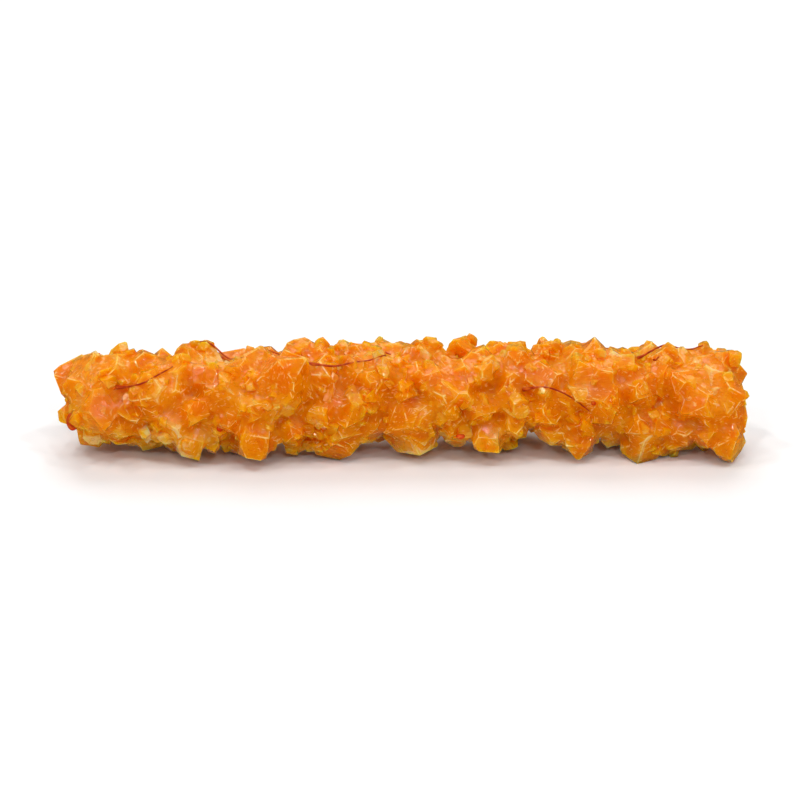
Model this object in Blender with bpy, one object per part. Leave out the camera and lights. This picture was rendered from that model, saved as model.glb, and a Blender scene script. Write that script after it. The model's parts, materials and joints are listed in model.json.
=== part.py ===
"""Rock candy stick: saffron sugar crystals grown round a string into one solid branch.

The stick lies along X as it was laid down, with its rounded tip at -X and its blunt end at
+X.  The origin is on the surface that it lies on, under the middle of its box.  +Z is up and
all lengths are in metres.
"""

import math
import random

import bmesh
import bpy
from mathutils import Matrix, Vector

# Driving dimensions.  The rest of the shape is worked out from these.
STICK_LENGTH = 0.120
STICK_THICKNESS = 0.021
COARSE_CRYSTAL = 0.0040
FINE_CRYSTAL = 0.0020

# The grown-together sugar in the middle, which every crystal stands in: a bar round the
# string, and a row of large crystals that hides it.
BAR_RADIUS = 0.22 * STICK_THICKNESS
BAR_SIDES = 8
HEART_CRYSTAL = 0.0054
HEART_PITCH = 0.0042

# Crystals stand in rings round the string, each ring turned half a step from the last.  A
# crystal strays by up to this share of a step from its place in the ring.
RING_PITCH = 0.0050
CRYSTALS_IN_RING = 8
CROWN_RADIUS = 0.46 * STICK_THICKNESS
CROWN_SCATTER = 0.0012
STRAY = 0.3
LEAN = 0.8

# How far a crystal reaches past its own middle, in half thicknesses.
REACH = 1.42

# How far the string strays from a straight line, and its waves seen from above and the side
# in half waves along the stick.
BOW = 0.0008
WAVES_ACROSS = 2.3
WAVES_UP = 1.7

SEED = 29

# Crystals that stand out on the shown side: place along the stick, height of the outward
# direction above level, and half thickness.
SHOWN = (
    (-0.037, math.radians(-33), 0.0031),
    (-0.026, math.radians(-31), 0.0034),
    (0.002, math.radians(-50), 0.0040),
    (0.015, math.radians(-42), 0.0030),
    (0.031, math.radians(-46), 0.0034),
    (0.042, math.radians(-52), 0.0038),
    (0.056, math.radians(-40), 0.0031),
    (-0.020, math.radians(46), 0.0040),
    (-0.053, math.radians(10), 0.0036),
)
PROUD_BY = 0.0014
PROUD_LEAN = 0.3

# Each end closes over: the crystals near it turn outwards along the stick, and a ring of
# crystals round the string caps it.
TIP_LENGTH = 0.011
TIP_CLOSING = 0.55
TIP_CAP_RADIUS = 0.0022
BLUNT_LENGTH = 0.005
BLUNT_CLOSING = 0.18
BLUNT_CAP_RADIUS = 0.0042
CAP_CRYSTALS = 5
CAP_REACH = 1.6

# Coarse crystals that the stick rests on: place along the stick, and angle from straight down.
# They are cut flat at the floor, which is this far below the string's level.
FEET = (
    (-0.040, math.radians(24)),
    (-0.013, math.radians(-26)),
    (0.017, math.radians(25)),
    (0.045, math.radians(-24)),
)
FOOT_REACH = 0.0010
FLOOR_DEPTH = STICK_THICKNESS / 2 - 0.0006

# Unit cell of sucrose, which sets the angles between the faces of every crystal.
CELL_A = 10.86
CELL_B = 8.70
CELL_C = 7.76
CELL_BETA = math.radians(102.9)

# How far each form of face lies from a crystal's middle, in half thicknesses, and the size of
# the block that a crystal is cut from, in the same measure.
FACE_DISTANCES = {
    "side": (0.80, 1.10),
    "top": (0.60, 0.95),
    "chamfer": (0.90, 1.30),
    "wedge": (1.05, 1.50),
    "gable": (1.15, 1.60),
}
BLANK_SIZE = 6.0

# Corners of one crystal that are closer than this are made one.
MERGE_DISTANCE = 2e-5

SUGAR_COLOUR = (0.72, 0.23, 0.012, 1.0)
SUGAR_ROUGHNESS = 0.15


def clear_scene():
    for old in list(bpy.data.objects):
        bpy.data.objects.remove(old, do_unlink=True)


def sugar_material():
    """Saffron rock sugar: glossy, deep amber."""
    made = bpy.data.materials.new("saffron_rock_sugar")
    made.use_nodes = True
    shader = made.node_tree.nodes["Principled BSDF"]
    shader.inputs["Base Color"].default_value = SUGAR_COLOUR
    shader.inputs["Roughness"].default_value = SUGAR_ROUGHNESS
    shader.inputs["Metallic"].default_value = 0.0
    return made


def face_normals():
    """Normals of the growth faces of a sucrose crystal by form, with its long axis along Y."""
    a = Vector((1.0 / (CELL_A * math.sin(CELL_BETA)), 0.0, 0.0))
    b = Vector((0.0, 1.0 / CELL_B, 0.0))
    c_length = 1.0 / (CELL_C * math.sin(CELL_BETA))
    c = Vector((-math.cos(CELL_BETA), 0.0, math.sin(CELL_BETA))) * c_length
    forms = {
        "side": (a,),
        "top": (c,),
        "chamfer": (a - c,),
        "wedge": (a + b, a - b),
        "gable": (c + b, c - b),
    }
    return {
        form: [normal.normalized() * way for normal in normals for way in (1.0, -1.0)]
        for form, normals in forms.items()
    }


def cut_crystal(normals, rng):
    """One crystal as a bmesh of half thickness 1: a block trimmed by each of its growth faces."""
    crystal = bmesh.new()
    bmesh.ops.create_cube(crystal, size=BLANK_SIZE)
    for form, found in normals.items():
        for normal in found:
            trim(crystal, normal * rng.uniform(*FACE_DISTANCES[form]), normal)
    return crystal


def trim(bm, point, normal):
    """Cuts off what lies beyond a plane, and closes each cut with a face."""
    everything = bm.verts[:] + bm.edges[:] + bm.faces[:]
    bmesh.ops.bisect_plane(
        bm, geom=everything, plane_co=point, plane_no=normal, clear_outer=True
    )
    open_edges = [edge for edge in bm.edges if edge.is_boundary]
    bmesh.ops.holes_fill(bm, edges=open_edges)


def middle_line(x):
    """The string's place at x: the stick is a little bowed."""
    phase = math.pi * x / STICK_LENGTH
    across = BOW * math.sin(WAVES_ACROSS * phase)
    up = BOW * math.cos(WAVES_UP * phase)
    return Vector((x, across, up))


def closing_at(x):
    """How far the crust has closed in at x, and how far it faces along the stick, each 0 to 1."""
    into_tip = 1.0 - (x + STICK_LENGTH / 2) / TIP_LENGTH
    into_blunt = 1.0 - (STICK_LENGTH / 2 - x) / BLUNT_LENGTH
    if into_tip > 0:
        return TIP_CLOSING * into_tip**2, -into_tip
    if into_blunt > 0:
        return BLUNT_CLOSING * into_blunt, into_blunt
    return 0.0, 0.0


def growth_spots(rng):
    """(place, direction, half thickness) of each crystal: the heart, the rings, both ends and
    the feet."""
    half = STICK_LENGTH / 2 - REACH * COARSE_CRYSTAL
    row = round(2 * half / HEART_PITCH)
    for number in range(1, row):
        direction = Vector([rng.uniform(-1.0, 1.0) for _ in range(3)]).normalized()
        yield middle_line(-half + 2 * half * number / row), direction, HEART_CRYSTAL
    rings = round(2 * half / RING_PITCH)
    for ring in range(rings + 1):
        for step in range(CRYSTALS_IN_RING):
            x = -half + 2 * half * ring / rings + rng.uniform(-STRAY, STRAY) * RING_PITCH
            turn = step + 0.5 * (ring % 2) + rng.uniform(-STRAY, STRAY)
            angle = 2 * math.pi * turn / CRYSTALS_IN_RING
            size = FINE_CRYSTAL + (COARSE_CRYSTAL - FINE_CRYSTAL) * rng.random() ** 1.3
            yield spot(x, angle, -rng.random() * CROWN_SCATTER, size, LEAN, rng)
    for x, height, size in SHOWN:
        yield spot(x, math.pi - height, PROUD_BY, size, PROUD_LEAN, rng)
    for way, radius in ((-1.0, TIP_CAP_RADIUS), (1.0, BLUNT_CAP_RADIUS)):
        for step in range(CAP_CRYSTALS):
            angle = 2 * math.pi * (step + rng.uniform(-STRAY, STRAY)) / CAP_CRYSTALS
            size = rng.uniform(FINE_CRYSTAL, COARSE_CRYSTAL)
            across = Vector((0.0, math.cos(angle), math.sin(angle)))
            end = middle_line(way * (STICK_LENGTH / 2 - CAP_REACH * size))
            lean = across * rng.uniform(0.0, LEAN)
            yield end + across * radius, Vector((way, 0.0, 0.0)) + lean, size
    for x, angle in FEET:
        yield spot(x, angle - math.pi / 2, FOOT_REACH, COARSE_CRYSTAL, LEAN, rng)


def spot(x, angle, extra, size, lean_most, rng):
    """Place, outward direction and size of one crystal at this angle round the string."""
    closing, along = closing_at(x)
    outward = Vector((0.0, math.cos(angle), math.sin(angle)))
    radius = (CROWN_RADIUS + extra - REACH * size) * (1.0 - closing)
    lean = Vector([rng.uniform(-lean_most, lean_most) for _ in range(3)])
    direction = outward + lean + Vector((along, 0.0, 0.0))
    return middle_line(x) + outward * radius, direction.normalized(), size


def crystal_objects(rng):
    """Every crystal as a hidden object of one collection, which the bar is joined with."""
    crystals = bpy.data.collections.new("crystals")
    bpy.context.scene.collection.children.link(crystals)
    normals = face_normals()
    for number, (place, direction, size) in enumerate(growth_spots(rng)):
        crystal = cut_crystal(normals, rng)
        spin = Matrix.Rotation(rng.uniform(0, 2 * math.pi), 4, "Y")
        stand = direction.to_track_quat("Y", "Z").to_matrix().to_4x4()
        matrix = Matrix.Translation(place) @ stand @ spin @ Matrix.Scale(size, 4)
        bmesh.ops.transform(crystal, matrix=matrix, verts=crystal.verts)
        bmesh.ops.remove_doubles(crystal, verts=crystal.verts, dist=MERGE_DISTANCE)
        mesh = bpy.data.meshes.new(f"crystal_{number}")
        crystal.to_mesh(mesh)
        crystal.free()
        crystals.objects.link(hidden(mesh.name, mesh))
    return crystals


def bar_mesh():
    """The bar of sugar along the string, which no crystal leaves open to view."""
    bar = bmesh.new()
    bmesh.ops.create_cone(
        bar,
        cap_ends=True,
        segments=BAR_SIDES,
        radius1=BAR_RADIUS,
        radius2=BAR_RADIUS,
        depth=STICK_LENGTH - 4 * COARSE_CRYSTAL,
        matrix=Matrix.Rotation(math.pi / 2, 4, "Y"),
    )
    mesh = bpy.data.meshes.new("bar")
    bar.to_mesh(mesh)
    bar.free()
    return mesh


def hidden(name, mesh):
    """A helper object, which Booleans use and which isn't part of the stick."""
    helper = bpy.data.objects.new(name, mesh)
    helper.hide_render = True
    helper.display_type = "WIRE"
    return helper


def ground():
    """A block under the stick, which cuts the feet flat."""
    block = bmesh.new()
    low = Matrix.Translation((0.0, 0.0, -FLOOR_DEPTH - STICK_LENGTH))
    bmesh.ops.create_cube(block, size=2 * STICK_LENGTH, matrix=low)
    mesh = bpy.data.meshes.new("ground")
    block.to_mesh(mesh)
    block.free()
    helper = hidden("ground", mesh)
    bpy.context.scene.collection.objects.link(helper)
    return helper


def joined(mesh, crystals):
    """The bar and its crystals as one mesh, cut flat where it lies."""
    bar = bpy.data.objects.new("bar", mesh)
    bpy.context.scene.collection.objects.link(bar)
    union = bar.modifiers.new("grown_together", "BOOLEAN")
    union.operation = "UNION"
    union.operand_type = "COLLECTION"
    union.collection = crystals
    union.solver = "EXACT"
    flat = bar.modifiers.new("laid_down", "BOOLEAN")
    flat.operation = "DIFFERENCE"
    flat.object = ground()
    flat.solver = "EXACT"
    graph = bpy.context.evaluated_depsgraph_get()
    whole = bmesh.new()
    whole.from_mesh(bar.evaluated_get(graph).data)
    bpy.data.objects.remove(bar)
    return whole


def drop_sealed_hollows(bm):
    """Keeps only the outer skin: the connected faces that hold the mesh's outermost vertex."""
    left = set(bm.faces)
    outermost = max(bm.verts, key=lambda vert: vert.co.x)
    todo = list(outermost.link_faces)
    while todo:
        face = todo.pop()
        if face in left:
            left.remove(face)
            todo += [near for edge in face.edges for near in edge.link_faces]
    bmesh.ops.delete(bm, geom=list(left), context="FACES")


def settle(bm):
    """Lifts the stick onto the surface, with the middle of its box over the origin."""
    sides = [sorted(vert.co[axis] for vert in bm.verts) for axis in (0, 1)]
    middle = [(side[0] + side[-1]) / 2 for side in sides]
    lift = Vector((-middle[0], -middle[1], FLOOR_DEPTH))
    bmesh.ops.translate(bm, vec=lift, verts=bm.verts)


def main():
    clear_scene()
    rng = random.Random(SEED)
    whole = joined(bar_mesh(), crystal_objects(rng))
    drop_sealed_hollows(whole)
    settle(whole)
    mesh = bpy.data.meshes.new("rock_candy")
    whole.to_mesh(mesh)
    whole.free()
    mesh.materials.append(sugar_material())
    candy = bpy.data.objects.new("rock_candy", mesh)
    bpy.context.scene.collection.objects.link(candy)


main()
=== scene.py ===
"""The looks of a rock candy stick: one branch of saffron rock sugar, lying down.

All lengths are in metres.  The stick lies along X with its rounded tip at -X, its shown side
faces -Y, and Z = 0 is the surface that it lies on.
"""

import json
import math
import random

import bmesh
import bpy
from mathutils import Matrix, Vector
from mathutils.bvhtree import BVHTree

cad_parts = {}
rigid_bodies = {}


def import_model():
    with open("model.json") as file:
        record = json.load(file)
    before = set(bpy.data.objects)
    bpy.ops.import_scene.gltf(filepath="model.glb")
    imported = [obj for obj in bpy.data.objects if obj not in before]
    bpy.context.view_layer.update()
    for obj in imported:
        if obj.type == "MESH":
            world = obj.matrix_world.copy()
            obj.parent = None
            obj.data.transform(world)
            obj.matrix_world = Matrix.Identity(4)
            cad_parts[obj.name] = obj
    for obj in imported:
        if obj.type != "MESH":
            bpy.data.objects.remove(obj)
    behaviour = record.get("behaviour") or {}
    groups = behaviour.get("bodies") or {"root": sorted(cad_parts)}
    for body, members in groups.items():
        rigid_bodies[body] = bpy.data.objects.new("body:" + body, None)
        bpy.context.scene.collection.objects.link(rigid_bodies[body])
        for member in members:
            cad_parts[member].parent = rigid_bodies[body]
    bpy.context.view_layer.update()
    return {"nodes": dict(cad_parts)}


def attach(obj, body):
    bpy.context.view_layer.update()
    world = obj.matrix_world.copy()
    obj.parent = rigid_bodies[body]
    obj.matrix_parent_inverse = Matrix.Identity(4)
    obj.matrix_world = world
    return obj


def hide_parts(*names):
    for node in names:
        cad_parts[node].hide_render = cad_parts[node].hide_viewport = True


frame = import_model()
cad_stick = frame["nodes"]["rock_candy"]


# ---------------------------------------------------------------------------------------------
# The grown crystals.  Rock sugar is sucrose that grew out of syrup on a string.  Each crystal is
# a clear block of 4 to 8 mm, and its faces are the growth faces of sucrose, so a block is cut
# by those planes.  The places repeat the ones that the solid stick was made from.
# ---------------------------------------------------------------------------------------------

STICK_LENGTH = 0.120
STICK_THICKNESS = 0.021
COARSE_CRYSTAL = 0.0040
FINE_CRYSTAL = 0.0020
HEART_CRYSTAL = 0.0054
HEART_PITCH = 0.0042
RING_PITCH = 0.0050
CRYSTALS_IN_RING = 8
CROWN_RADIUS = 0.46 * STICK_THICKNESS
CROWN_SCATTER = 0.0012
STRAY = 0.3
LEAN = 0.8
REACH = 1.42
BOW = 0.0008
WAVES_ACROSS = 2.3
WAVES_UP = 1.7
GROWTH_SEED = 29

# Crystals that stand out on the shown side: place, height of the direction, half thickness.
SHOWN = (
    (-0.037, math.radians(-33), 0.0031),
    (-0.026, math.radians(-31), 0.0034),
    (0.002, math.radians(-50), 0.0040),
    (0.015, math.radians(-42), 0.0030),
    (0.031, math.radians(-46), 0.0034),
    (0.042, math.radians(-52), 0.0038),
    (0.056, math.radians(-40), 0.0031),
    (-0.020, math.radians(46), 0.0040),
    (-0.053, math.radians(10), 0.0036),
)
PROUD_BY = 0.0014
PROUD_LEAN = 0.3

TIP_LENGTH = 0.011
TIP_CLOSING = 0.55
TIP_CAP_RADIUS = 0.0022
BLUNT_LENGTH = 0.005
BLUNT_CLOSING = 0.18
BLUNT_CAP_RADIUS = 0.0042
CAP_CRYSTALS = 5
CAP_REACH = 1.6

# Crystals that the stick rests on: place, and angle from straight down.
FEET = (
    (-0.040, math.radians(24)),
    (-0.013, math.radians(-26)),
    (0.017, math.radians(25)),
    (0.045, math.radians(-24)),
)
FOOT_REACH = 0.0010
FLOOR_DEPTH = STICK_THICKNESS / 2 - 0.0006

# Unit cell of sucrose, and how far each form of face lies from a crystal's middle.
CELL_A = 10.86
CELL_B = 8.70
CELL_C = 7.76
CELL_BETA = math.radians(102.9)
FACE_DISTANCES = {
    "side": (0.80, 1.10),
    "top": (0.60, 0.95),
    "chamfer": (0.90, 1.30),
    "wedge": (1.05, 1.50),
    "gable": (1.15, 1.60),
}
BLANK_SIZE = 6.0


def growth_faces():
    """Normals of the growth faces of a sucrose crystal by form, with its long axis along Y."""
    a = Vector((1.0 / (CELL_A * math.sin(CELL_BETA)), 0.0, 0.0))
    b = Vector((0.0, 1.0 / CELL_B, 0.0))
    c_length = 1.0 / (CELL_C * math.sin(CELL_BETA))
    c = Vector((-math.cos(CELL_BETA), 0.0, math.sin(CELL_BETA))) * c_length
    forms = {
        "side": (a,),
        "top": (c,),
        "chamfer": (a - c,),
        "wedge": (a + b, a - b),
        "gable": (c + b, c - b),
    }
    return {
        form: [normal.normalized() * way for normal in normals for way in (1.0, -1.0)]
        for form, normals in forms.items()
    }


def trim(bm, point, normal):
    """Cuts off what lies beyond a plane, and closes each cut with a face."""
    everything = bm.verts[:] + bm.edges[:] + bm.faces[:]
    bmesh.ops.bisect_plane(
        bm, geom=everything, plane_co=point, plane_no=normal, clear_outer=True
    )
    open_edges = [edge for edge in bm.edges if edge.is_boundary]
    bmesh.ops.holes_fill(bm, edges=open_edges)


def cut_crystal(faces, rng):
    """One crystal of half thickness 1, and how far out each of its growth faces lies."""
    crystal = bmesh.new()
    bmesh.ops.create_cube(crystal, size=BLANK_SIZE)
    planes = []
    for form, normals in faces.items():
        for normal in normals:
            planes.append((normal, rng.uniform(*FACE_DISTANCES[form])))
            trim(crystal, normal * planes[-1][1], normal)
    return crystal, planes


def middle_line(x):
    """The string's place at x: the stick is a little bowed."""
    phase = math.pi * x / STICK_LENGTH
    across = BOW * math.sin(WAVES_ACROSS * phase)
    up = BOW * math.cos(WAVES_UP * phase)
    return Vector((x, across, up))


def closing_at(x):
    """How far the crust has closed in at x, and how far it faces along the stick."""
    into_tip = 1.0 - (x + STICK_LENGTH / 2) / TIP_LENGTH
    into_blunt = 1.0 - (STICK_LENGTH / 2 - x) / BLUNT_LENGTH
    if into_tip > 0:
        return TIP_CLOSING * into_tip**2, -into_tip
    if into_blunt > 0:
        return BLUNT_CLOSING * into_blunt, into_blunt
    return 0.0, 0.0


def spot(x, angle, extra, size, lean_most, rng):
    """Place, outward direction and size of one crystal at this angle round the string."""
    closing, along = closing_at(x)
    outward = Vector((0.0, math.cos(angle), math.sin(angle)))
    radius = (CROWN_RADIUS + extra - REACH * size) * (1.0 - closing)
    lean = Vector([rng.uniform(-lean_most, lean_most) for _ in range(3)])
    direction = outward + lean + Vector((along, 0.0, 0.0))
    return middle_line(x) + outward * radius, direction.normalized(), size


def growth_spots(rng):
    """(place, direction, half thickness) of each crystal of the solid stick."""
    half = STICK_LENGTH / 2 - REACH * COARSE_CRYSTAL
    row = round(2 * half / HEART_PITCH)
    for number in range(1, row):
        direction = Vector([rng.uniform(-1.0, 1.0) for _ in range(3)]).normalized()
        yield middle_line(-half + 2 * half * number / row), direction, HEART_CRYSTAL
    rings = round(2 * half / RING_PITCH)
    for ring in range(rings + 1):
        for step in range(CRYSTALS_IN_RING):
            x = -half + 2 * half * ring / rings + rng.uniform(-STRAY, STRAY) * RING_PITCH
            turn = step + 0.5 * (ring % 2) + rng.uniform(-STRAY, STRAY)
            angle = 2 * math.pi * turn / CRYSTALS_IN_RING
            size = FINE_CRYSTAL + (COARSE_CRYSTAL - FINE_CRYSTAL) * rng.random() ** 1.3
            yield spot(x, angle, -rng.random() * CROWN_SCATTER, size, LEAN, rng)
    for x, height, size in SHOWN:
        yield spot(x, math.pi - height, PROUD_BY, size, PROUD_LEAN, rng)
    for way, radius in ((-1.0, TIP_CAP_RADIUS), (1.0, BLUNT_CAP_RADIUS)):
        for step in range(CAP_CRYSTALS):
            angle = 2 * math.pi * (step + rng.uniform(-STRAY, STRAY)) / CAP_CRYSTALS
            size = rng.uniform(FINE_CRYSTAL, COARSE_CRYSTAL)
            across = Vector((0.0, math.cos(angle), math.sin(angle)))
            end = middle_line(way * (STICK_LENGTH / 2 - CAP_REACH * size))
            lean = across * rng.uniform(0.0, LEAN)
            yield end + across * radius, Vector((way, 0.0, 0.0)) + lean, size
    for x, angle in FEET:
        yield spot(x, angle - math.pi / 2, FOOT_REACH, COARSE_CRYSTAL, LEAN, rng)


def set_upright(direction, spin):
    """The turn that stands a crystal's long axis along this direction."""
    stand = direction.to_track_quat("Y", "Z").to_matrix().to_4x4()
    return stand @ Matrix.Rotation(spin, 4, "Y")


growth_rng = random.Random(GROWTH_SEED)
faces_of_sucrose = growth_faces()
grown = []
for place, direction, size in growth_spots(growth_rng):
    crystal, planes = cut_crystal(faces_of_sucrose, growth_rng)
    turn = set_upright(direction, growth_rng.uniform(0, 2 * math.pi))
    grown.append((crystal, planes, Matrix.Translation(place) @ turn @ Matrix.Scale(size, 4), size))

# The crystals as grown are centred on the string.  The stick was then laid down, with the
# middle of its box over the origin.
corners = [matrix @ vert.co for crystal, _, matrix, _ in grown for vert in crystal.verts]
middle_x = (min(co.x for co in corners) + max(co.x for co in corners)) / 2
middle_y = (min(co.y for co in corners) + max(co.y for co in corners)) / 2
laid_down = Matrix.Translation((-middle_x, -middle_y, FLOOR_DEPTH))


# ---------------------------------------------------------------------------------------------
# The crust.  Sugar grows in layers, so a crystal's faces carry terraces: thinner blocks that lie
# parallel to it and stand a tenth of a millimetre or two proud.  Small crystals fill the clefts,
# and the last of the syrup dried over them as a film that leaves only edges and corners bare.
# ---------------------------------------------------------------------------------------------

EDGE_WEAR = 0.00014
FINE_EDGE_WEAR = 0.00007
TERRACES = 2
TERRACE_SIZE = (0.40, 0.78)
TERRACE_STEP = (0.00008, 0.00030)
TERRACE_STRAY = 0.55
JOIN_DISTANCE = 4e-5
CRUST_SEED = 7
FILM_GRAIN = 0.00065
FILM_SMOOTHING = 8
FILM_HEIGHT = 0.00008

crust_rng = random.Random(CRUST_SEED)
crust_parts = bpy.data.collections.new("crust_parts")
bpy.context.scene.collection.children.link(crust_parts)


def add_part(collection, bm, growth, wear, segments):
    """Wears the edges of one closed block and stores it for the union.  Its faces keep growth, a
    number from 0 to 1 that tells the crystals apart, and a number that is 1 along its worn
    edges, where the sugar gets a painted highlight."""
    bmesh.ops.remove_doubles(bm, verts=bm.verts, dist=JOIN_DISTANCE)
    growth_layer = bm.faces.layers.float.new("growth")
    edge_highlight_layer = bm.faces.layers.float.new("edge_highlight")
    edge_highlight_faces = []
    if wear:
        edge_highlight_faces = bmesh.ops.bevel(
            bm, geom=bm.edges[:], offset=wear, offset_type="OFFSET", affect="EDGES",
            segments=segments, profile=0.5, material=-1, clamp_overlap=True,
        )["faces"]
    for face in bm.faces:
        face[growth_layer] = growth
    for face in edge_highlight_faces:
        face[edge_highlight_layer] = 1.0
    mesh = bpy.data.meshes.new("block")
    bm.to_mesh(mesh)
    bm.free()
    block = bpy.data.objects.new("block", mesh)
    collection.objects.link(block)


def reshaped(mesh, steps):
    """A new mesh: this one with modifiers applied, each given as (kind, settings)."""
    worked = bpy.data.objects.new("worked", mesh)
    bpy.context.scene.collection.objects.link(worked)
    for kind, settings in steps:
        modifier = worked.modifiers.new(kind.lower(), kind)
        for setting, value in settings.items():
            setattr(modifier, setting, value)
    graph = bpy.context.evaluated_depsgraph_get()
    result = bpy.data.meshes.new_from_object(worked.evaluated_get(graph))
    bpy.data.objects.remove(worked)
    return result


def union_of(collection):
    """The blocks of a collection grown together into one closed mesh."""
    first = collection.objects[0]
    collection.objects.unlink(first)
    grown_together = {
        "operation": "UNION", "operand_type": "COLLECTION",
        "collection": collection, "solver": "MANIFOLD",
    }
    mesh = reshaped(first.data, [("BOOLEAN", grown_together)])
    for block in [first, *collection.objects]:
        bpy.data.meshes.remove(block.data)
    bpy.data.collections.remove(collection)
    return mesh


def add_piece(name, mesh, finish):
    """One finished piece of the stick, with its material."""
    mesh.name = name
    mesh.materials.clear()
    mesh.materials.append(finish)
    piece = bpy.data.objects.new(name, mesh)
    bpy.context.scene.collection.objects.link(piece)
    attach(piece, "root")
    return piece


# The block under the stick cuts its feet flat.
ground_bm = bmesh.new()
under = Matrix.Translation((0.0, 0.0, -STICK_LENGTH))
bmesh.ops.create_cube(ground_bm, size=2 * STICK_LENGTH, matrix=under)
ground_mesh = bpy.data.meshes.new("ground")
ground_bm.to_mesh(ground_mesh)
ground_bm.free()
ground = bpy.data.objects.new("ground", ground_mesh)
bpy.context.scene.collection.objects.link(ground)
laid_flat = {"operation": "DIFFERENCE", "object": ground, "solver": "MANIFOLD"}

for crystal, planes, matrix, size in grown:
    growth = crust_rng.random()
    for _ in range(TERRACES):
        terrace = crystal.copy()
        share = crust_rng.uniform(*TERRACE_SIZE)
        normal, distance = crust_rng.choice(planes)
        step = crust_rng.uniform(*TERRACE_STEP) / size
        stray = Vector([crust_rng.uniform(-1, 1) for _ in range(3)]) * TERRACE_STRAY
        stray -= normal * stray.dot(normal)
        shift = normal * ((1 - share) * distance + step) + stray * (1 - share)
        bmesh.ops.transform(
            terrace,
            matrix=laid_down @ matrix @ Matrix.Translation(shift) @ Matrix.Scale(share, 4),
            verts=terrace.verts,
        )
        add_part(crust_parts, terrace, growth, FINE_EDGE_WEAR, 1)
    bmesh.ops.transform(crystal, matrix=laid_down @ matrix, verts=crystal.verts)
    add_part(crust_parts, crystal, growth, EDGE_WEAR, 2)

bare_mesh = union_of(crust_parts)
film_mesh = reshaped(
    bare_mesh,
    [
        ("REMESH", {"mode": "VOXEL", "voxel_size": FILM_GRAIN, "use_smooth_shade": True}),
        ("SMOOTH", {"factor": 0.5, "iterations": FILM_SMOOTHING}),
        ("DISPLACE", {"strength": FILM_HEIGHT, "mid_level": 0.0}),
    ],
)
film = bpy.data.objects.new("film", film_mesh)
bpy.context.scene.collection.objects.link(film)
dried_on = {"operation": "UNION", "object": film, "solver": "MANIFOLD"}
filmed_mesh = reshaped(bare_mesh, [("BOOLEAN", dried_on)])
bpy.data.objects.remove(film)

# ---------------------------------------------------------------------------------------------
# The fine crystals.  When the stick came out of the syrup, a last crop of crystals of one or two
# millimetres grew all over it, half sunk in the film and turned every way.
# ---------------------------------------------------------------------------------------------

FINE_CRYSTALS = 650
FINE_SIZE = (0.0006, 0.0015)
FINE_SINK = 0.75
FINE_REACH = 0.0106
FINE_END = STICK_LENGTH / 2 + 0.0010


def any_direction(rng):
    """A direction in space, each as likely as the next."""
    height = rng.uniform(-1, 1)
    angle = rng.uniform(0, 2 * math.pi)
    across = math.sqrt(1 - height * height)
    return Vector((across * math.cos(angle), across * math.sin(angle), height))


def stands_clear(point):
    """Whether a point lies further out than a stick of this thickness and length goes."""
    from_string = (point - laid_down @ middle_line(point.x)).length
    return from_string > FINE_REACH or abs(point.x) > FINE_END


def surface_tree(mesh):
    """A mesh's surface, to send rays to."""
    bm = bmesh.new()
    bm.from_mesh(mesh)
    tree = BVHTree.FromBMesh(bm)
    bm.free()
    return tree


filmed_tree = surface_tree(filmed_mesh)
fine_parts = bpy.data.collections.new("fine_parts")
bpy.context.scene.collection.children.link(fine_parts)
body = bpy.data.objects.new("body", filmed_mesh)
fine_parts.objects.link(body)
placed = 0
while placed < FINE_CRYSTALS:
    middle = laid_down @ middle_line(crust_rng.uniform(-0.45, 0.45) * STICK_LENGTH)
    outward = any_direction(crust_rng)
    hit, normal, _, _ = filmed_tree.ray_cast(middle + outward * STICK_LENGTH, -outward)
    if hit is None:
        continue
    size = FINE_SIZE[0] + (FINE_SIZE[1] - FINE_SIZE[0]) * crust_rng.random() ** 1.3
    crystal, _ = cut_crystal(faces_of_sucrose, crust_rng)
    stand = (normal + any_direction(crust_rng)).normalized()
    turn = set_upright(stand, crust_rng.uniform(0, 2 * math.pi))
    place = Matrix.Translation(hit - normal * size * FINE_SINK)
    bmesh.ops.transform(crystal, matrix=place @ turn @ Matrix.Scale(size, 4), verts=crystal.verts)
    if any(stands_clear(vert.co) for vert in crystal.verts):
        crystal.free()
        continue
    add_part(fine_parts, crystal, crust_rng.random(), 0.0, 0)
    placed += 1
crust_mesh = reshaped(union_of(fine_parts), [("BOOLEAN", laid_flat)])


def srgb(hexa):
    """A linear colour from its sRGB hex value."""
    parts = [int(hexa[start:start + 2], 16) / 255 for start in (0, 2, 4)]
    return [c / 12.92 if c <= 0.04045 else ((c + 0.055) / 1.055) ** 2.4 for c in parts] + [1.0]


def add_node(tree, kind, inputs=None, stops=None, **settings):
    """Adds a node.  Each input is a value or the socket that leads to it."""
    node = tree.nodes.new("ShaderNode" + kind)
    for name, value in settings.items():
        setattr(node, name, value)
    for key, value in (inputs or {}).items():
        if isinstance(value, bpy.types.NodeSocket):
            tree.links.new(value, node.inputs[key])
        else:
            node.inputs[key].default_value = value
    for number, (position, colour) in enumerate(stops or ()):
        elements = node.color_ramp.elements
        element = elements[number] if number < 2 else elements.new(position)
        element.position = position
        element.color = srgb(colour)
    return node


# Sucrose coloured by saffron, grown slowly.  It is clear, but full of cleavages and syrup, so
# light goes deep and spreads: its blue is soaked up within a millimetre, its green within three,
# and thin places glow yellow.  Clear sugar's IOR is 1.56; the value is lower here because the
# rough faces would else mirror the white floor, and grey the colour.
CLEAVAGE_CELL = 0.0024
FINE_CELL = 0.0010
KERNEL_CELL = 0.0065
BLOTCH = 0.0090
CELL_WOBBLE = 0.0004
NEEDLE = (0.0003, 0.0018, 0.0008)
NEEDLE_RELIEF = 0.00008
CLEAVAGE_RELIEF = 0.4
FINE_RELIEF = 0.5
SUGAR_SCATTER = 0.007
SYRUP_DENSITY = 300.0
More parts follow.
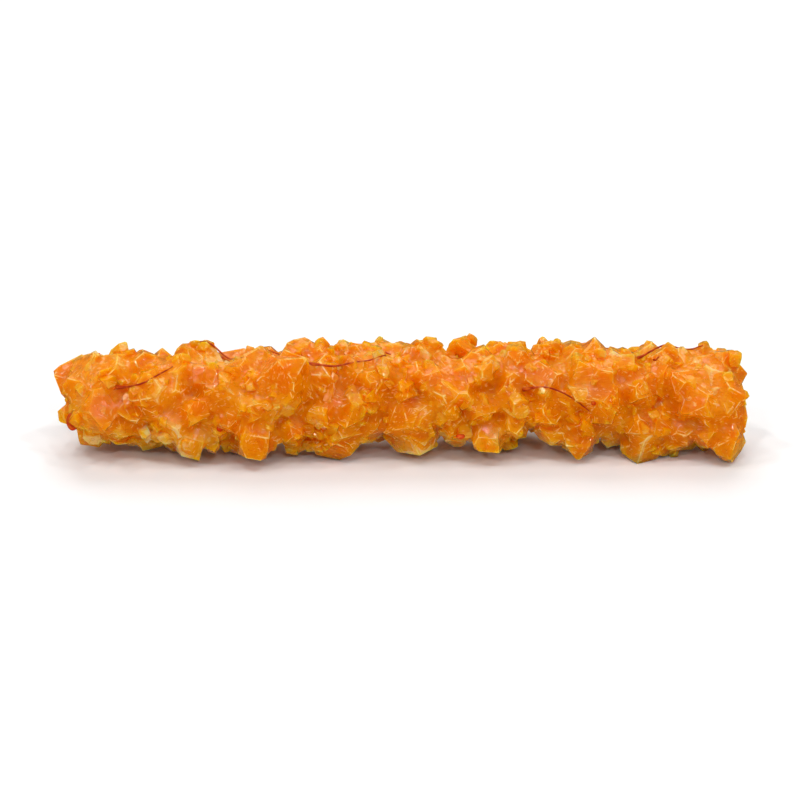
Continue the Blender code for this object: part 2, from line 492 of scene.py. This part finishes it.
# Pale colour of the worn edges: partly the frost of wear, partly a painted highlight along every
# edge.
EDGE_HIGHLIGHT_COLOUR = "FFD888"
# Painted highlight on the tops of the needle ribs, and painted shade in the grooves between them.
NEEDLE_HIGHLIGHT_COLOUR = "FFD478"
GROOVE_SHADE_COLOUR = "DC6604"

sugar = bpy.data.materials.new("rock_sugar_with_saffron")
sugar.use_nodes = True
tree = sugar.node_tree
shader = tree.nodes["Principled BSDF"]
place = add_node(tree, "TexCoord").outputs["Object"]
wobble = add_node(tree, "TexNoise", {"Vector": place, "Scale": 500.0, "Detail": 2.0})
wobbled = add_node(
    tree, "VectorMath", {0: wobble.outputs["Color"], 1: (0.5, 0.5, 0.5)}, operation="SUBTRACT"
)
wobbled = add_node(
    tree, "VectorMath",
    {0: wobbled.outputs[0], 1: (CELL_WOBBLE, CELL_WOBBLE, CELL_WOBBLE), 2: place},
    operation="MULTIPLY_ADD",
).outputs[0]


def facets(tree, place, size):
    """Flat faces of this size that lean every way: a height to bump by, and their cells."""
    cells = add_node(tree, "TexVoronoi", {"Vector": place, "Scale": 1 / size})
    lean = add_node(
        tree, "VectorMath", {0: cells.outputs["Color"], 1: (0.5, 0.5, 0.5)},
        operation="SUBTRACT",
    )
    across = add_node(
        tree, "VectorMath", {0: place, 1: cells.outputs["Position"]}, operation="SUBTRACT"
    )
    height = add_node(
        tree, "VectorMath", {0: lean.outputs[0], 1: across.outputs[0]},
        operation="DOT_PRODUCT",
    )
    return height.outputs["Value"], cells


cleavage, cleavage_cells = facets(tree, wobbled, CLEAVAGE_CELL)
fine, fine_cells = facets(tree, wobbled, FINE_CELL)
cleavage_shade = add_node(tree, "SeparateColor", {0: cleavage_cells.outputs["Color"]}).outputs[0]
fine_shade = add_node(tree, "SeparateColor", {0: fine_cells.outputs["Color"]}).outputs[0]
kernels = add_node(tree, "TexVoronoi", {"Vector": wobbled, "Scale": 1 / KERNEL_CELL})
kernel = add_node(
    tree, "MapRange",
    {"Value": kernels.outputs["Distance"], "From Min": 0.15, "From Max": 0.75, "To Min": 1.0,
     "To Max": 0.0},
).outputs[0]
blotches = add_node(tree, "TexNoise", {"Vector": place, "Scale": 1 / BLOTCH, "Detail": 3.0})
blotch = add_node(
    tree, "MapRange", {"Value": blotches.outputs["Fac"], "From Min": 0.3, "From Max": 0.7}
).outputs[0]
growth = add_node(tree, "Attribute", attribute_name="growth").outputs["Fac"]
depth = 0.0
for value, share in (
    (cleavage_shade, 0.12), (fine_shade, 0.08), (kernel, 0.26), (growth, 0.20), (blotch, 0.34)
):
    depth = add_node(
        tree, "Math", {0: value, 1: share, 2: depth}, operation="MULTIPLY_ADD"
    ).outputs[0]
colour = add_node(
    tree, "ValToRGB", {0: depth},
    stops=((0.27, "E07800"), (0.41, "E48600"), (0.53, "EA9206"), (0.66, "F0A230"), (0.80, "FAC080")),
).outputs[0]

# Each cleavage is ribbed with fine needles of its own direction, with a painted highlight on the rib
# tops and painted shade in the grooves between.
turned = add_node(
    tree, "VectorMath", {0: cleavage_cells.outputs["Color"], 1: (6.28, 6.28, 6.28)},
    operation="MULTIPLY",
).outputs[0]
turned = add_node(
    tree, "VectorRotate", {"Vector": wobbled, "Rotation": turned}, rotation_type="EULER_XYZ"
).outputs[0]
drawn_out = add_node(
    tree, "VectorMath", {0: turned, 1: tuple(1 / side for side in NEEDLE)}, operation="MULTIPLY"
).outputs[0]
needles = add_node(
    tree, "TexNoise", {"Vector": drawn_out, "Scale": 1.0, "Detail": 1.0}
).outputs["Fac"]
for start, end, share, tint in ((0.60, 0.71, 0.44, NEEDLE_HIGHLIGHT_COLOUR), (0.42, 0.32, 0.35, GROOVE_SHADE_COLOUR)):
    amount = add_node(
        tree, "MapRange", {"Value": needles, "From Min": start, "From Max": end, "To Max": share}
    ).outputs[0]
    colour = add_node(
        tree, "Mix", {0: amount, 6: colour, 7: srgb(tint)}, data_type="RGBA"
    ).outputs[2]
# The worn edges are painted pale, in pieces broken up by noise: partly frosted wear, partly a
# painted highlight where edges catch the light.
edge_highlight = add_node(tree, "Attribute", attribute_name="edge_highlight").outputs["Fac"]
highlight_breaks = add_node(tree, "TexNoise", {"Vector": place, "Scale": 625.0, "Detail": 2.0})
broken_highlight = add_node(
    tree, "MapRange",
    {"Value": highlight_breaks.outputs["Fac"], "From Min": 0.45, "From Max": 0.60, "To Max": 0.55},
).outputs[0]
edge_highlight = add_node(tree, "Math", {0: edge_highlight, 1: broken_highlight}, operation="MULTIPLY").outputs[0]
colour = add_node(
    tree, "Mix", {0: edge_highlight, 6: colour, 7: srgb(EDGE_HIGHLIGHT_COLOUR)}, data_type="RGBA"
).outputs[2]
matt = add_node(tree, "TexNoise", {"Vector": place, "Scale": 667.0, "Detail": 3.0})
roughness = add_node(
    tree, "MapRange",
    {"Value": matt.outputs["Fac"], "From Min": 0.3, "From Max": 0.7, "To Min": 0.02,
     "To Max": 0.08},
).outputs[0]
clear = add_node(
    tree, "MapRange", {"Value": depth, "From Min": 0.45, "From Max": 0.80, "To Max": 0.12}
).outputs[0]
relief = add_node(tree, "Bump", {"Height": needles, "Distance": NEEDLE_RELIEF}).outputs[0]
for height, distance in ((fine, FINE_RELIEF), (cleavage, CLEAVAGE_RELIEF)):
    relief = add_node(
        tree, "Bump", {"Height": height, "Distance": distance, "Normal": relief}
    ).outputs[0]
for socket, value in (
    ("Base Color", colour), ("Roughness", roughness), ("Transmission Weight", clear),
    ("Normal", relief),
):
    tree.links.new(value, shader.inputs[socket])
shader.inputs["IOR"].default_value = 1.35
shader.inputs["Subsurface Weight"].default_value = 1.0
shader.inputs["Subsurface Radius"].default_value = (1.0, 0.5, 0.12)
shader.inputs["Subsurface Scale"].default_value = SUGAR_SCATTER
syrup_inside = add_node(
    tree, "VolumeAbsorption", {"Color": (0.98, 0.62, 0.08, 1.0), "Density": SYRUP_DENSITY}
)
tree.links.new(syrup_inside.outputs[0], tree.nodes["Material Output"].inputs["Volume"])

crust = add_piece("sugar_crust", crust_mesh, sugar)
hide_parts("rock_candy")


# ---------------------------------------------------------------------------------------------
# The cloudy heart.  The first crystals grew fast and trapped bubbles and syrup, so under the
# clear outer sugar the stick is cloudy: packed grains, pale where they hold air.
# ---------------------------------------------------------------------------------------------

HEART_GRAIN = 0.0005
HEART_SMOOTHING = 3
HEART_DEPTH = 0.0008
HEART_CLEAVAGE = 0.0026
HEART_FINE = 0.0009
HEART_BLOTCH = 0.0060
HEART_RELIEF = 0.7
HEART_SCATTER = 0.001

heart_mesh = reshaped(
    crust_mesh,
    [
        ("REMESH", {"mode": "VOXEL", "voxel_size": HEART_GRAIN}),
        ("SMOOTH", {"factor": 0.5, "iterations": HEART_SMOOTHING}),
        ("DISPLACE", {"strength": -HEART_DEPTH, "mid_level": 0.0}),
        ("REMESH", {"mode": "VOXEL", "voxel_size": HEART_GRAIN, "use_smooth_shade": True}),
        ("SMOOTH", {"factor": 0.5, "iterations": 1}),
    ],
)

# Milky sugar: air and syrup in the grains scatter light at once, so it looks like frosted
# honeycomb, pale yellow to orange.  It lies in sugar, so little light mirrors off it.
cloudy = bpy.data.materials.new("milky_rock_sugar")
cloudy.use_nodes = True
tree = cloudy.node_tree
shader = tree.nodes["Principled BSDF"]
place = add_node(tree, "TexCoord").outputs["Object"]
cleavage, cleavage_cells = facets(tree, place, HEART_CLEAVAGE)
fine, fine_cells = facets(tree, place, HEART_FINE)
blotches = add_node(tree, "TexNoise", {"Vector": place, "Scale": 1 / HEART_BLOTCH, "Detail": 3.0})
depth = 0.0
for value, share in (
    (add_node(tree, "SeparateColor", {0: cleavage_cells.outputs["Color"]}).outputs[0], 0.40),
    (add_node(tree, "SeparateColor", {0: fine_cells.outputs["Color"]}).outputs[0], 0.35),
    (add_node(
        tree, "MapRange", {"Value": blotches.outputs["Fac"], "From Min": 0.3, "From Max": 0.7}
    ).outputs[0], 0.25),
):
    depth = add_node(
        tree, "Math", {0: value, 1: share, 2: depth}, operation="MULTIPLY_ADD"
    ).outputs[0]
colour = add_node(
    tree, "ValToRGB", {0: depth},
    stops=((0.15, "FF9818"), (0.45, "FFB028"), (0.75, "FFD060"), (0.95, "FFF0C0")),
).outputs[0]
relief = add_node(tree, "Bump", {"Height": fine, "Distance": HEART_RELIEF}).outputs[0]
relief = add_node(
    tree, "Bump", {"Height": cleavage, "Distance": HEART_RELIEF, "Normal": relief}
).outputs[0]
tree.links.new(colour, shader.inputs["Base Color"])
tree.links.new(relief, shader.inputs["Normal"])
shader.inputs["Roughness"].default_value = 0.3
shader.inputs["IOR"].default_value = 1.2
shader.inputs["Subsurface Weight"].default_value = 1.0
shader.inputs["Subsurface Radius"].default_value = (1.0, 0.5, 0.12)
shader.inputs["Subsurface Scale"].default_value = HEART_SCATTER

add_piece("cloudy_heart", heart_mesh, cloudy)


# ---------------------------------------------------------------------------------------------
# The saffron threads.  Each is the dried stigma of a crocus, a crimson thread 10 to 20 mm long
# that flares at one end.  They floated in the syrup, and the sugar grew fast to them, so each
# lies along the stick, half sunk.  Broken ends of threads stick to it as crumbs.
# ---------------------------------------------------------------------------------------------

THREAD_RADIUS = 0.00020
THREAD_SINK = 0.00004
THREAD_STEP = 0.0007
THREAD_TAPER = 0.45
THREAD_FLARE = 1.9
FLARE_LENGTH = 0.18
THREAD_SIDES = 3
THREAD_SMOOTHING = 2

# Each thread: where it starts, its angle round the stick there, its length, how far its angle
# drifts along it, and how far it bows.
THREADS = (
    (-0.0167, math.radians(119), 0.0134, math.radians(-6), math.radians(7)),
    (0.0205, math.radians(152), 0.0115, math.radians(24), math.radians(-12)),
    (-0.0500, math.radians(140), 0.0098, math.radians(-22), math.radians(10)),
    (0.0400, math.radians(98), 0.0125, math.radians(-26), math.radians(-14)),
    (-0.0385, math.radians(60), 0.0165, math.radians(18), math.radians(12)),
    (0.0040, math.radians(20), 0.0140, math.radians(-20), math.radians(15)),
    (0.0300, math.radians(-8), 0.0120, math.radians(22), math.radians(-10)),
)
CRUMBS = 12
CRUMB_LENGTH = (0.0005, 0.0014)
CRUMB_DRIFT = math.radians(9)
THREAD_SEED = 5


def on_crust(x, angle):
    """The crust's surface at x, and the direction out from the string there."""
    outward = Vector((0.0, math.cos(angle), math.sin(angle)))
    middle = laid_down @ middle_line(x)
    hit, _, _, _ = crust_tree.ray_cast(middle + outward * STICK_THICKNESS, -outward)
    return middle, outward, (hit - middle).length


def lay_thread(curve, x, angle, length, drift, bow):
    """Lays one thread over the crust: it rests on the high places and spans the clefts."""
    steps = max(3, round(length / THREAD_STEP))
    along = [number / steps for number in range(steps + 1)]
    spots = [
        on_crust(x + length * t, angle + drift * t + bow * math.sin(math.pi * t)) for t in along
    ]
    heights = [height for _, _, height in spots]
    last = len(heights) - 1
    heights = [max(heights[max(i - 1, 0):i + 2]) for i in range(last + 1)]
    for _ in range(THREAD_SMOOTHING):
        heights = [
            (heights[max(i - 1, 0)] + 2 * heights[i] + heights[min(i + 1, last)]) / 4
            for i in range(last + 1)
        ]
    spline = curve.splines.new("NURBS")
    spline.points.add(last)
    spline.use_endpoint_u = True
    spline.order_u = 3
    for point, t, (middle, outward, _), height in zip(spline.points, along, spots, heights):
        point.co = (*(middle + outward * (height - THREAD_SINK)), 1.0)
        flare = max(0.0, 1 - t / FLARE_LENGTH) * (THREAD_FLARE - 1)
        point.radius = 1.0 + flare - THREAD_TAPER * t


thread_rng = random.Random(THREAD_SEED)
crust_tree = surface_tree(crust_mesh)
threads_curve = bpy.data.curves.new("threads", "CURVE")
threads_curve.dimensions = "3D"
threads_curve.bevel_depth = THREAD_RADIUS
threads_curve.bevel_resolution = THREAD_SIDES
threads_curve.resolution_u = 3
threads_curve.use_fill_caps = True
for thread in THREADS:
    lay_thread(threads_curve, *thread)
for _ in range(CRUMBS):
    lay_thread(
        threads_curve,
        thread_rng.uniform(-0.46, 0.46) * STICK_LENGTH,
        thread_rng.uniform(0, 2 * math.pi),
        thread_rng.uniform(*CRUMB_LENGTH),
        thread_rng.uniform(-CRUMB_DRIFT, CRUMB_DRIFT),
        0.0,
    )
threads_laid = bpy.data.objects.new("threads_laid", threads_curve)
bpy.context.scene.collection.objects.link(threads_laid)
threads_mesh = bpy.data.meshes.new_from_object(
    threads_laid.evaluated_get(bpy.context.evaluated_depsgraph_get())
)
bpy.data.objects.remove(threads_laid)
threads_bm = bmesh.new()
threads_bm.from_mesh(threads_mesh)
bmesh.ops.remove_doubles(threads_bm, verts=threads_bm.verts, dist=1e-6)
bmesh.ops.recalc_face_normals(threads_bm, faces=threads_bm.faces)
for face in threads_bm.faces:
    face.smooth = len(face.verts) == 4
threads_bm.to_mesh(threads_mesh)
threads_bm.free()

# Dried stigma, soaked in syrup: a ribbed crimson fibre, crimson to orange from place to place.
# The dried syrup on it gives it a soft gloss.
FIBRE = 0.00025
FIBRE_SHADE = 0.0012

saffron = bpy.data.materials.new("dried_saffron_stigma")
saffron.use_nodes = True
tree = saffron.node_tree
shader = tree.nodes["Principled BSDF"]
place = add_node(tree, "TexCoord").outputs["Object"]
shades = add_node(tree, "TexNoise", {"Vector": place, "Scale": 1 / FIBRE_SHADE, "Detail": 2.0})
colour = add_node(
    tree, "ValToRGB", {0: shades.outputs["Fac"]},
    stops=((0.30, "8C2004"), (0.50, "B03A08"), (0.68, "D06410")),
).outputs[0]
fibres = add_node(tree, "TexNoise", {"Vector": place, "Scale": 1 / FIBRE, "Detail": 2.0})
ribs = add_node(tree, "Bump", {"Height": fibres.outputs["Fac"], "Distance": 0.00006}).outputs[0]
tree.links.new(colour, shader.inputs["Base Color"])
tree.links.new(ribs, shader.inputs["Normal"])
shader.inputs["Roughness"].default_value = 0.55
shader.inputs["IOR"].default_value = 1.20

add_piece("saffron_threads", threads_mesh, saffron)


# ---------------------------------------------------------------------------------------------
# The syrup beads.  The last drops of syrup ran together before they dried: a red-orange bead at
# the rounded tip, and a few smaller ones in the clefts.
# ---------------------------------------------------------------------------------------------

# Each bead: a point that the ray starts from, the ray's direction, and the half axes.
BEADS = (
    ((-0.0800, -0.0062, 0.0082), (1.0, 0.0, 0.0), (0.0012, 0.0012, 0.0016)),
    ((-0.0312, -0.0300, 0.0080), (0.0, 1.0, 0.0), (0.0006, 0.0005, 0.0006)),
    ((0.0105, -0.0300, 0.0060), (0.0, 1.0, 0.0), (0.0008, 0.0006, 0.0005)),
    ((0.0335, -0.0300, 0.0125), (0.0, 1.0, 0.0), (0.0005, 0.0004, 0.0005)),
    ((0.0260, 0.0300, 0.0090), (0.0, -1.0, 0.0), (0.0007, 0.0005, 0.0007)),
)
BEAD_ROUNDS = 4
BEAD_SINK = 0.20
BEAD_UNEVEN = 0.08

beads_bm = bmesh.new()
for start, way, half_axes in BEADS:
    way = Vector(way)
    hit, normal, _, _ = crust_tree.ray_cast(Vector(start), way)
    sunk = hit + way * BEAD_SINK * min(half_axes)
    bead = bmesh.ops.create_icosphere(
        beads_bm, subdivisions=BEAD_ROUNDS, radius=1.0,
        matrix=Matrix.Translation(sunk) @ Matrix.Diagonal((*half_axes, 1.0)),
    )
    for vert in bead["verts"]:
        wave = math.sin(vert.co.x / 0.0005) * math.sin(vert.co.z / 0.0006)
        vert.co = sunk + (vert.co - sunk) * (1 + BEAD_UNEVEN * wave)
for face in beads_bm.faces:
    face.smooth = True
beads_mesh = bpy.data.meshes.new("syrup_beads")
beads_bm.to_mesh(beads_mesh)
beads_bm.free()

# Dried sugar syrup, boiled with saffron: a clear red-orange glass, glossy, with a little haze.
HAZE = 0.0009
BEAD_DENSITY = 500.0

bead_syrup = bpy.data.materials.new("dried_saffron_syrup")
bead_syrup.use_nodes = True
tree = bead_syrup.node_tree
shader = tree.nodes["Principled BSDF"]
place = add_node(tree, "TexCoord").outputs["Object"]
haze = add_node(tree, "TexNoise", {"Vector": place, "Scale": 1 / HAZE, "Detail": 3.0})
colour = add_node(
    tree, "ValToRGB", {0: haze.outputs["Fac"]},
    stops=((0.30, "C83404"), (0.50, "E2500A"), (0.70, "F08020")),
).outputs[0]
roughness = add_node(
    tree, "MapRange", {"Value": haze.outputs["Fac"], "To Min": 0.04, "To Max": 0.20}
).outputs[0]
tree.links.new(colour, shader.inputs["Base Color"])
tree.links.new(roughness, shader.inputs["Roughness"])
shader.inputs["IOR"].default_value = 1.40
shader.inputs["Transmission Weight"].default_value = 0.35
shader.inputs["Subsurface Weight"].default_value = 1.0
shader.inputs["Subsurface Radius"].default_value = (1.0, 0.35, 0.08)
shader.inputs["Subsurface Scale"].default_value = 0.0015
bead_inside = add_node(
    tree, "VolumeAbsorption", {"Color": (0.98, 0.45, 0.05, 1.0), "Density": BEAD_DENSITY}
)
tree.links.new(bead_inside.outputs[0], tree.nodes["Material Output"].inputs["Volume"])

add_piece("syrup_beads", beads_mesh, bead_syrup)
bpy.data.objects.remove(ground)


# ---------------------------------------------------------------------------------------------
# The table and the light.  The stick lies on a plain white board under a bright overcast sky,
# with small lamps that put the glints on its faces.
# ---------------------------------------------------------------------------------------------

BOARD_SIZE = 3.0
BOARD_DROP = 0.00005
SKY_STRENGTH = 0.48
SKY = ((0.0, "7A7A7A"), (0.45, "C4C4C4"), (0.75, "DADADA"))

# Each lamp: place, size and power.  A broad one hangs behind the stick, and a row of small ones
# runs round its front, high and low by turns, each a glint on the faces that mirror it.
LAMPS = [((0.0, 0.90, 1.35), 1.20, 12.5)]
GLINT_LAMPS = 9
GLINT_ROW = (math.radians(-168), math.radians(-22))
GLINT_HEIGHTS = (math.radians(62), math.radians(38))
GLINT_DISTANCE = 2.0
GLINT_LAMP_SIZE = 0.13
GLINT_LAMP_POWER = 3.75
for number in range(GLINT_LAMPS):
    azimuth = GLINT_ROW[0] + (GLINT_ROW[1] - GLINT_ROW[0]) * number / (GLINT_LAMPS - 1)
    height = GLINT_HEIGHTS[number % 2]
    level = Vector((math.cos(azimuth), math.sin(azimuth), 0.0)) * math.cos(height)
    place = (level + Vector((0.0, 0.0, math.sin(height)))) * GLINT_DISTANCE
    LAMPS.append((place, GLINT_LAMP_SIZE, GLINT_LAMP_POWER))

board_bm = bmesh.new()
bmesh.ops.create_grid(
    board_bm, x_segments=1, y_segments=1, size=BOARD_SIZE,
    matrix=Matrix.Translation((0.0, 0.0, -BOARD_DROP)),
)
board_mesh = bpy.data.meshes.new("board")
board_bm.to_mesh(board_mesh)
board_bm.free()
board = bpy.data.objects.new("board", board_mesh)
bpy.context.scene.collection.objects.link(board)
board.visible_glossy = False

# Matt white card, with a grain too faint to see as a pattern.
card = bpy.data.materials.new("matt_white_card")
card.use_nodes = True
tree = card.node_tree
place = add_node(tree, "TexCoord").outputs["Object"]
grain = add_node(tree, "TexNoise", {"Vector": place, "Scale": 400.0, "Detail": 2.0})
colour = add_node(
    tree, "ValToRGB", {0: grain.outputs["Fac"]}, stops=((0.0, "ECECEC"), (1.0, "EEEEEE"))
).outputs[0]
tree.links.new(colour, tree.nodes["Principled BSDF"].inputs["Base Color"])
tree.nodes["Principled BSDF"].inputs["Roughness"].default_value = 0.8
board_mesh.materials.append(card)

sky = bpy.data.worlds.new("sky")
sky.use_nodes = True
tree = sky.node_tree
place = add_node(tree, "TexCoord").outputs["Generated"]
upward = add_node(tree, "SeparateXYZ", {0: place}).outputs["Z"]
shade = add_node(tree, "ValToRGB", {0: upward}, stops=SKY).outputs[0]
tree.links.new(shade, tree.nodes["Background"].inputs["Color"])
tree.nodes["Background"].inputs["Strength"].default_value = SKY_STRENGTH
bpy.context.scene.world = sky


def aimed(holder, target):
    """Turns a lamp or the camera to look at a point."""
    look = Vector(target) - holder.location
    holder.rotation_euler = look.to_track_quat("-Z", "Y").to_euler()
    bpy.context.scene.collection.objects.link(holder)


for number, (place, size, power) in enumerate(LAMPS):
    lamp = bpy.data.lights.new(f"lamp_{number}", "AREA")
    lamp.size = size
    lamp.energy = power
    holder = bpy.data.objects.new(f"lamp_{number}", lamp)
    holder.location = place
    aimed(holder, (0.0, 0.0, 0.0))

ELEVATION = math.radians(24)
DISTANCE = 0.45
LENS = 115
AIM_HEIGHT = 0.0095

lens = bpy.data.cameras.new("camera")
lens.lens = LENS
lens.sensor_width = 36
camera = bpy.data.objects.new("camera", lens)
away = Vector((0.0, -math.cos(ELEVATION), math.sin(ELEVATION))) * DISTANCE
camera.location = Vector((0.0, 0.0, AIM_HEIGHT)) + away
aimed(camera, (0.0, 0.0, AIM_HEIGHT))
bpy.context.scene.camera = camera
bpy.context.scene.view_settings.view_transform = "Standard"
